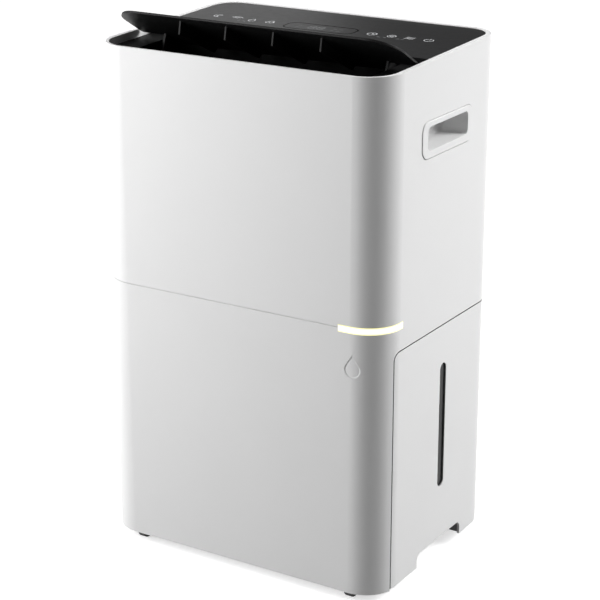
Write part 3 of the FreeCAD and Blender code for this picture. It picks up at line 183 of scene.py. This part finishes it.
def surfaced(material, looks):
    """The material, with its surface's sockets fed by name."""
    surface = material.node_tree.nodes["Principled BSDF"]
    for socket, value in looks.items():
        feed(material.node_tree, surface.inputs[socket], value)
    return material


def noise(tree, point, scale, detail=2.0, roughness=0.5):
    """Cloudy noise from 0 to 1, finer with a larger scale."""
    node = tree.nodes.new("ShaderNodeTexNoise")
    feed(tree, node.inputs["Scale"], scale)
    feed(tree, node.inputs["Detail"], detail)
    feed(tree, node.inputs["Roughness"], roughness)
    feed(tree, node.inputs["Vector"], point)
    return node.outputs["Fac"]


def threads(tree, point, direction, pitch):
    """Rounded parallel threads, one every pitch along a direction."""
    node = tree.nodes.new("ShaderNodeTexWave")
    node.bands_direction = direction
    feed(tree, node.inputs["Scale"], math.tau / (WAVE_UNIT * pitch))
    feed(tree, node.inputs["Vector"], point)
    return node.outputs["Fac"]


def spread(tree, factor, low, high):
    """Map a 0 to 1 texture onto a range."""
    node = tree.nodes.new("ShaderNodeMapRange")
    feed(tree, node.inputs["To Min"], low)
    feed(tree, node.inputs["To Max"], high)
    feed(tree, node.inputs["Value"], factor)
    return node.outputs["Result"]


def ramp(tree, value, low, high):
    """Nought below low, rising to one above high."""
    node = tree.nodes.new("ShaderNodeMapRange")
    feed(tree, node.inputs["From Min"], low)
    feed(tree, node.inputs["From Max"], high)
    feed(tree, node.inputs["Value"], value)
    return node.outputs["Result"]


def arithmetic(tree, operation, *operands):
    """One arithmetic step, on sockets and numbers."""
    node = tree.nodes.new("ShaderNodeMath")
    node.operation = operation
    for socket, operand in zip(node.inputs, operands):
        feed(tree, socket, operand)
    return node.outputs[0]


def coordinate(tree, point, axis):
    """The X, Y or Z of a point."""
    node = tree.nodes.new("ShaderNodeSeparateXYZ")
    feed(tree, node.inputs[0], point)
    return node.outputs[axis]


def tint(tree, factor, dark, light):
    """Mix two colours by a 0 to 1 texture."""
    node = tree.nodes.new("ShaderNodeMix")
    node.data_type = "RGBA"
    feed(tree, node.inputs["Factor"], factor)
    feed(tree, node.inputs[MIX_FIRST], dark)
    feed(tree, node.inputs[MIX_SECOND], light)
    return node.outputs[MIX_RESULT]


def bump(tree, height, distance, strength, below=None):
    """The normal of a relief, on top of another one where there is one below."""
    node = tree.nodes.new("ShaderNodeBump")
    feed(tree, node.inputs["Distance"], distance)
    feed(tree, node.inputs["Strength"], strength)
    feed(tree, node.inputs["Height"], height)
    if below is not None:
        feed(tree, node.inputs["Normal"], below)
    return node.outputs["Normal"]


def soft_edge(tree):
    """The normal of an edge broken by a small radius, as every moulded edge has."""
    node = tree.nodes.new("ShaderNodeBevel")
    node.samples = EDGE_SAMPLES
    feed(tree, node.inputs["Radius"], EDGE_RADIUS)
    return node.outputs["Normal"]


# ---------------------------------------------------------------------------------------------------------
# Materials, with their lengths in metres
# ---------------------------------------------------------------------------------------------------------

# Painted shade darkens the colour in the gap round the tank door. A wall nearer than this counts as the
# other side of that gap.
GAP_REACH = 0.003
# The gap is darkened this far in from the door's face and this far above its top.
GAP_DEPTH = 0.008
# It is wholly dark where a point is no more open than this.
GAP_SHUT = 0.6
PAINTED_GAP_SHADE = (0.02, 0.02, 0.02)
GAP_SAMPLES = 6
DOOR_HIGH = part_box("tank_door")[1]

# From one thread of the filter's net to the next.
NET_PITCH = 0.0014

# How many times finer the streaks in bare metal are across, back and up.
STREAKS = (1.0, 1.0, 40.0)

# The light guide stays white over this share of its height.
GLOW_CORE = 0.55


def paint_gap_shade(tree, point, colour):
    """Paint shade into the narrow gap round the tank door, which opens onto the unlit tank bay."""
    open_sky = tree.nodes.new("ShaderNodeAmbientOcclusion")
    open_sky.samples = GAP_SAMPLES
    feed(tree, open_sky.inputs["Distance"], GAP_REACH)
    sideways = arithmetic(tree, "ABSOLUTE", coordinate(tree, point, "X"))
    at_side = arithmetic(tree, "GREATER_THAN", sideways, DOOR_HIGH[0] - GAP_DEPTH)
    at_door = arithmetic(tree, "LESS_THAN", coordinate(tree, point, "Z"), DOOR_HIGH[2] + GAP_DEPTH)
    near = arithmetic(tree, "MULTIPLY", at_side, at_door)
    shut = arithmetic(tree, "SUBTRACT", 1.0, ramp(tree, open_sky.outputs["AO"], GAP_SHUT, 1.0))
    return tint(tree, arithmetic(tree, "MULTIPLY", near, shut), colour, PAINTED_GAP_SHADE)


def moulded_plastic(name, dark, light, rough, grain=2600.0, depth=0.00006, strength=0.35, specular=0.5,
                    painted_gap_shade=False):
    """Moulded plastic: spark-eroded grain, faint large mottling, a roughness that varies a little and, if
    asked, painted shade in the tank door's gap.
    """
    material, tree, point = start_material(name)
    colour = tint(tree, noise(tree, point, scale=9.0, detail=4.0), dark, light)
    grain_height = noise(tree, point, scale=grain, detail=2.0, roughness=0.6)
    grained = bump(tree, grain_height, depth, strength, below=soft_edge(tree))
    sink_marks = noise(tree, point, scale=14.0, detail=1.0)
    return surfaced(material, {
        # The gap round the tank door gets painted shade here when asked.
        "Base Color": paint_gap_shade(tree, point, colour) if painted_gap_shade else colour,
        "Roughness": spread(tree, noise(tree, point, scale=140.0, detail=3.0), *rough),
        "Normal": bump(tree, sink_marks, distance=0.0008, strength=0.04, below=grained),
        "Specular IOR Level": specular,
    })


def metal(name, dark, light, rough):
    """Bare metal with fine level streaks in its colour, its roughness and its relief."""
    material, tree, point = start_material(name)
    mapping = tree.nodes.new("ShaderNodeMapping")
    feed(tree, mapping.inputs["Scale"], STREAKS)
    feed(tree, mapping.inputs["Vector"], point)
    drawn = noise(tree, mapping.outputs["Vector"], scale=60.0, detail=4.0)
    return surfaced(material, {
        "Base Color": tint(tree, drawn, dark, light),
        "Roughness": spread(tree, drawn, *rough),
        "Normal": bump(tree, drawn, distance=0.0001, strength=0.15),
        "Metallic": 1.0,
    })


def woven_net(name, dark, light):
    """Nylon net: upright and level threads with dark holes between them."""
    material, tree, point = start_material(name)
    crossed = (threads(tree, point, direction, NET_PITCH) for direction in ("X", "Z"))
    cloth = arithmetic(tree, "MAXIMUM", *crossed)
    dust = spread(tree, noise(tree, point, scale=40.0, detail=3.0), 0.7, 1.0)
    return surfaced(material, {
        "Base Color": tint(tree, arithmetic(tree, "MULTIPLY", cloth, dust), dark, light),
        "Roughness": spread(tree, noise(tree, point, scale=300.0), 0.5, 0.65),
        "Normal": bump(tree, cloth, distance=0.0003, strength=0.6),
    })


def lit_guide(name, rim, core, unlit):
    """A frosted light guide: almost white in its middle and pale yellow along both long edges."""
    material, tree, point = start_material(name)
    low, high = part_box("light_strip")
    half = (high[2] - low[2]) / 2
    rise = arithmetic(tree, "SUBTRACT", coordinate(tree, point, "Z"), (low[2] + high[2]) / 2)
    at_rim = ramp(tree, arithmetic(tree, "ABSOLUTE", rise), half * GLOW_CORE, half)
    return surfaced(material, {
        "Base Color": unlit,
        "Emission Color": tint(tree, at_rim, core, rim),
        "Emission Strength": 1.0,
        "Roughness": spread(tree, noise(tree, point, scale=500.0), 0.35, 0.5),
        "Normal": bump(tree, noise(tree, point, scale=1800.0), distance=0.00005, strength=0.3),
    })


def smoked_plastic(name, colour, specular):
    """Smoked clear plastic over a dark inside: hardly any gloss, and a faint swirl from the mould."""
    material, tree, point = start_material(name)
    pale = tuple(level * 1.5 for level in colour)
    return surfaced(material, {
        "Base Color": tint(tree, noise(tree, point, scale=30.0, detail=3.0), colour, pale),
        "Roughness": spread(tree, noise(tree, point, scale=90.0, detail=3.0), 0.2, 0.3),
        "Normal": bump(tree, noise(tree, point, scale=50.0), distance=0.0003, strength=0.06),
        "Specular IOR Level": specular,
    })


def printed_ink(name, colour):
    """Screen-printed ink: slightly uneven and a little rougher than what it lies on."""
    material, tree, point = start_material(name)
    thin = tuple(level * 0.85 for level in colour)
    return surfaced(material, {
        "Base Color": tint(tree, noise(tree, point, scale=900.0), thin, colour),
        "Roughness": spread(tree, noise(tree, point, scale=700.0), 0.5, 0.65),
        "Normal": bump(tree, noise(tree, point, scale=1500.0), distance=0.00003, strength=0.3),
    })


def floor_paint():
    """White floor paint that glows a little, so that it stays white under soft light."""
    material, tree, point = start_material("floor_paint")
    return surfaced(material, {
        "Base Color": tint(tree, noise(tree, point, scale=3.0), (0.90, 0.90, 0.90), (0.93, 0.93, 0.93)),
        "Roughness": 0.7,
        "Emission Color": (1.0, 1.0, 1.0),
        "Emission Strength": FLOOR_GLOW,
    })


JET_BLACK = dict(dark=(0.004, 0.004, 0.0042), light=(0.006, 0.006, 0.0063))
DULL_RUBBER = dict(dark=(0.02, 0.02, 0.02), light=(0.03, 0.03, 0.03))

PLASTICS = {
    # The white plastic carries the painted shade in the gap round the tank door.
    "white_plastic": dict(dark=(0.80, 0.80, 0.80), light=(0.83, 0.83, 0.83), rough=(0.40, 0.48), painted_gap_shade=True),
    "black_plastic": dict(JET_BLACK, rough=(0.48, 0.58), specular=0.15),
    "louver_black": dict(JET_BLACK, rough=(0.42, 0.52), specular=0.2),
    "panel_gloss": dict(dark=(0.012, 0.012, 0.0125), light=(0.016, 0.016, 0.0165), rough=(0.30, 0.38),
                        grain=1800.0, depth=0.00003, strength=0.2, specular=0.35),
    "tank_smoke": dict(dark=(0.06, 0.062, 0.065), light=(0.075, 0.077, 0.08), rough=(0.25, 0.35)),
    "grey_plastic": dict(dark=(0.055, 0.057, 0.06), light=(0.07, 0.072, 0.075), rough=(0.45, 0.55)),
    "caster_black": dict(dark=(0.01, 0.01, 0.01), light=(0.015, 0.015, 0.015), rough=(0.4, 0.5)),
    "caster_tread": dict(DULL_RUBBER, rough=(0.6, 0.75)),
    "rubber": dict(DULL_RUBBER, rough=(0.65, 0.8)),
    "black_enamel": dict(dark=(0.01, 0.01, 0.01), light=(0.014, 0.014, 0.014), rough=(0.22, 0.3)),
    "circuit_board": dict(dark=(0.01, 0.07, 0.03), light=(0.015, 0.1, 0.045), rough=(0.3, 0.4)),
}

METALS = {
    "zinc_steel": dict(dark=(0.45, 0.46, 0.47), light=(0.62, 0.63, 0.64), rough=(0.28, 0.42)),
    "fin_aluminium": dict(dark=(0.62, 0.63, 0.64), light=(0.78, 0.79, 0.8), rough=(0.3, 0.42)),
    "copper": dict(dark=(0.62, 0.3, 0.18), light=(0.75, 0.42, 0.28), rough=(0.2, 0.35)),
}


def make_materials():
    """One material for each material slot of the record, under the slot's name."""
    made = {name: moulded_plastic(name, **looks) for name, looks in PLASTICS.items()}
    made.update({name: metal(name, **looks) for name, looks in METALS.items()})
    made["light_guide"] = lit_guide(
        "light_guide", rim=(1.0, 0.95, 0.35), core=(1.0, 0.99, 0.93), unlit=(0.35, 0.34, 0.30))
    made["window_smoke"] = smoked_plastic("window_smoke", (0.006, 0.0062, 0.0065), specular=0.1)
    made["filter_net"] = woven_net("filter_net", dark=(0.006, 0.006, 0.006), light=(0.09, 0.09, 0.095))
    return made


# Faces that meet at less than this are shaded as one curve.
SMOOTH_ANGLE = math.radians(28)


def dress_nodes(materials):
    """Give every CAD node the material of its slot, shaded smooth across gentle angles."""
    slot_of = {part["node"]: part["material_slot"] for part in frame["record"]["subparts"]}
    for name, node in frame["nodes"].items():
        node.data.materials.clear()
        node.data.materials.append(materials[slot_of[name]])
        node.data.shade_smooth()
        node.data.set_sharp_from_angle(angle=SMOOTH_ANGLE)


# ---------------------------------------------------------------------------------------------------------
# Flat outlines, in millimetres, and the pieces made along them
# ---------------------------------------------------------------------------------------------------------

# How far ink stands above the face it is printed on, and how far it reaches into it.
INK_LIFT = 0.08
INK_SINK = -0.05


def polar(centre, radius, angle):
    """The point of a circle at an angle in degrees."""
    turn = math.radians(angle)
    return (centre[0] + radius * math.cos(turn), centre[1] + radius * math.sin(turn))


def arc(centre, radius, start, end, steps=20):
    """Points along an arc between two angles in degrees."""
    return [polar(centre, radius, start + (end - start) * i / steps) for i in range(steps + 1)]


def rounded_outline(low, high, radius):
    """A rectangle with rounded corners, as one closed list of points."""
    left, right = low[0] + radius, high[0] - radius
    bottom, top = low[1] + radius, high[1] - radius
    corners = (((right, top), 0), ((left, top), 90), ((left, bottom), 180), ((right, bottom), 270))
    return [point for centre, start in corners for point in arc(centre, radius, start, start + 90, 8)]


def bridge(mesh, here, there):
    """Faces between two closed rings that have the same number of points."""
    for i in range(len(here)):
        k = (i + 1) % len(here)
        mesh.faces.new((here[i], here[k], there[k], there[i]))


def ribbon(mesh, points, width, place, closed=False):
    """A thin solid ribbon of ink along flat points; place(u, v, lift) puts a flat point on its surface."""
    flat = [Vector(point) for point in points]
    count = len(flat)
    rings = []
    for i, at in enumerate(flat):
        before = flat[i - 1] if closed or i else at
        after = flat[(i + 1) % count] if closed or i < count - 1 else at
        run = (after - before).normalized()
        side = Vector((-run.y, run.x)) * width / 2
        left, right = at - side, at + side
        corners = ((left, INK_SINK), (right, INK_SINK), (right, INK_LIFT), (left, INK_LIFT))
        rings.append([mesh.verts.new(place(*spot, lift)) for spot, lift in corners])
    for i in range(count if closed else count - 1):
        bridge(mesh, rings[i], rings[(i + 1) % count])
    if not closed:
        mesh.faces.new(rings[0])
        mesh.faces.new(rings[-1])


def finished(name, mesh, material):
    """Turn a bmesh into a piece that is fast on the housing."""
    bmesh.ops.recalc_face_normals(mesh, faces=mesh.faces)
    data = bpy.data.meshes.new(name)
    mesh.to_mesh(data)
    mesh.free()
    data.materials.append(material)
    piece = bpy.data.objects.new(name, data)
    bpy.context.scene.collection.objects.link(piece)
    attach(piece, "housing")
    return piece


# ---------------------------------------------------------------------------------------------------------
# Print on the control panel, in millimetres
# ---------------------------------------------------------------------------------------------------------

# The top falls this far towards the front over the depth of the body.
TOP_FALL = 9.0
TOP_TILT = math.atan2(TOP_FALL * MM, cad_high[1] - cad_low[1])
PANEL_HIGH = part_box("control_panel")[1]

# Where each touch key is on the panel, across and back.
KEY_PLACES = {
    "key_sleep": (-142.6, 52), "key_signal": (-117.3, 52), "key_dry": (-93.7, 50), "key_fan": (-68.5, 50),
    "key_timer": (67.7, 50), "key_mode": (92.9, 50), "key_swing": (115.9, 50), "key_power": (140, 50),
}
KEY_SCALE = 1.12
KEY_STROKE = 1.15

# The short dashes in front of the keys.
DASH_PLACES = (-109, -101, 79, 87, 104, 110)
DASH_ROW = 40.5
DASH_LONG = 3.5
DASH_STROKE = 1.0

# The outline of the display window, and the numerals and state marks inside it.
WINDOW_LOW = (-46, 35)
WINDOW_HIGH = (46, 64)
WINDOW_ROUND = 11
WINDOW_STROKE = 2.0
DIGIT_PLACES = ((-10, 42), (1, 42))
DIGIT_WIDE = 7.0
DIGIT_HIGH = 12.0
DIGIT_STROKE = 0.9
BAR_GAP = 0.8
STATE_PLACES = ((-30, 44), (-30, 52), (16, 44), (24, 44), (16, 52), (24, 52))
STATE_LONG = 4
STATE_STROKE = 0.8


def on_panel(x, y, lift):
    """A point on the control panel's top face, from millimetres across, back and up."""
    height = PANEL_HIGH[2] - (PANEL_HIGH[1] - y * MM) * math.tan(TOP_TILT)
    return (x * MM, y * MM, height + lift * MM)


def touch_symbols():
    """The strokes of each touch key's generic symbol, as (points about its centre, closed)."""
    moon = arc((0, 0), 5, 55, 305) + arc((3.4, 0), 4.6, 248, 112)
    drop = [(0, 5.5)] + arc((0, -1.2), 3.6, 150, 390)
    return {
        "key_sleep": [(moon, True)],
        "key_signal": [(arc((0, -3.5), radius, 40, 140), False) for radius in (3.2, 6.0, 8.8)],
        "key_dry": [(drop, True)],
        "key_fan": [(arc(polar((0, 0), 2.6, turn), 2.5, turn - 150, turn + 120), False)
                    for turn in (90, 210, 330)],
        "key_timer": [(arc((0, 0), 5, 0, 348), True), ([(0, 3), (0, 0), (2.4, -1.2)], False)],
        "key_mode": [(arc((0, 0), 4.8, 0, 300, 5), True), (arc((0, 0), 1.6, 0, 330, 11), True)],
        "key_swing": [([(-5, v), (-2, v + 1.1), (1.5, v), (5, v + 1.1)], False) for v in (-3.4, -0.4, 2.6)],
        "key_power": [(arc((0, 0), 4.8, 122, 418), False), ([(0, 0.8), (0, 6)], False)],
    }


def digit(x, y):
    """All seven bars of an unlit numeral."""
    half, middle = DIGIT_WIDE / 2, DIGIT_HIGH / 2
    level = [[(x - half + BAR_GAP, y + v), (x + half - BAR_GAP, y + v)] for v in (0, middle, DIGIT_HIGH)]
    upright = [[(x + u, y + v + BAR_GAP), (x + u, y + v + middle - BAR_GAP)]
               for u in (-half, half) for v in (0, middle)]
    return level + upright


def print_keys(ink):
    """Each touch key's symbol, as a piece of its own."""
    for name, strokes in touch_symbols().items():
        x, y = KEY_PLACES[name]
        mesh = bmesh.new()
        for points, closed in strokes:
            placed = [(u * KEY_SCALE + x, v * KEY_SCALE + y) for u, v in points]
            ribbon(mesh, placed, KEY_STROKE, on_panel, closed)
        finished(name, mesh, ink)


def print_dashes(ink):
    """The dashes in front of the keys, as one piece."""
    mesh = bmesh.new()
    for x in DASH_PLACES:
        ribbon(mesh, [(x, DASH_ROW), (x + DASH_LONG, DASH_ROW)], DASH_STROKE, on_panel)
    finished("key_marks", mesh, ink)


def print_display(glass, ink):
    """The display window's outline, and the unlit numerals and state marks inside it."""
    mesh = bmesh.new()
    outline = rounded_outline(WINDOW_LOW, WINDOW_HIGH, WINDOW_ROUND)
    ribbon(mesh, outline, WINDOW_STROKE, on_panel, closed=True)
    finished("display_window", mesh, glass)
    mesh = bmesh.new()
    for place in DIGIT_PLACES:
        for bar in digit(*place):
            ribbon(mesh, bar, DIGIT_STROKE, on_panel)
    for x, y in STATE_PLACES:
        ribbon(mesh, [(x, y), (x + STATE_LONG, y)], STATE_STROKE, on_panel)
    finished("display_marks", mesh, ink)


# ---------------------------------------------------------------------------------------------------------
# The sunk drop mark on the front cover, in millimetres
# ---------------------------------------------------------------------------------------------------------

FRONT_LOW, FRONT_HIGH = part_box("front_cover")
# The radius of the front cover's corners.
FRONT_ROUND = 40.0
# The middle and radius of the drop's bowl, the height of its tip and its depth.
MARK_X = 152.0
MARK_Z = 282.6
MARK_RADIUS = 9.6
MARK_TIP = 300.0
MARK_DEEP = 0.45

BOWL_STEPS = 32
SIDE_STEPS = 6

# The section of the sloping wall round the mark. Each point is an inset from the mark's edge and a lift over
# the cover's face: down the slope to the mark's floor, then back to the edge below that floor.
DRAFT_SECTION = (
    (0.05, -0.02), (0.55, -0.24), (1.15, 0.04 - MARK_DEEP),
    (1.15, -0.05 - MARK_DEEP), (0.05, -0.05 - MARK_DEEP),
)


def on_corner(x, z, lift):
    """A point on the front cover and round its right corner, from millimetres across, up and outwards."""
    turn = FRONT_HIGH[0] / MM - FRONT_ROUND
    lean = math.asin(max(0.0, x - turn) / FRONT_ROUND)
    out = FRONT_ROUND + lift
    across = turn + out * math.sin(lean) if x > turn else x
    return (across * MM, FRONT_LOW[1] + (FRONT_ROUND - out * math.cos(lean)) * MM, z * MM)


def drop_outline(inset):
    """The tank-full drop drawn in by an inset: a bowl and two straight sides up to the tip."""
    radius = MARK_RADIUS - inset
    rise = (MARK_TIP - MARK_Z) * radius / MARK_RADIUS
    lean = math.degrees(math.acos(radius / rise))
    bowl = arc((MARK_X, MARK_Z), radius, 90 + lean, 450 - lean, BOWL_STEPS)
    tip = (MARK_X, MARK_Z + rise)
    left = [tuple(a + (b - a) * k / SIDE_STEPS for a, b in zip(tip, bowl[0])) for k in range(SIDE_STEPS)]
    right = [(2 * MARK_X - x, z) for x, z in reversed(left[1:])]
    return left + bowl + right


def make_drop_draft(material):
    """The sloping wall round the sunk drop mark."""
    mesh = bmesh.new()
    rings = [[mesh.verts.new(on_corner(x, z, lift)) for x, z in drop_outline(inset)]
             for inset, lift in DRAFT_SECTION]
    for k, ring in enumerate(rings):
        bridge(mesh, ring, rings[(k + 1) % len(rings)])
    finished("drop_draft", mesh, material)


# ---------------------------------------------------------------------------------------------------------
# The whole scene
# ---------------------------------------------------------------------------------------------------------

make_camera()
make_studio()
materials = make_materials()
dress_nodes(materials)
faint_ink = printed_ink("faint_ink", (0.28, 0.285, 0.29))
print_keys(printed_ink("key_ink", (0.60, 0.61, 0.62)))
print_dashes(faint_ink)
print_display(smoked_plastic("display_glass", (0.002, 0.002, 0.0021), specular=0.02), faint_ink)
make_drop_draft(materials["white_plastic"])
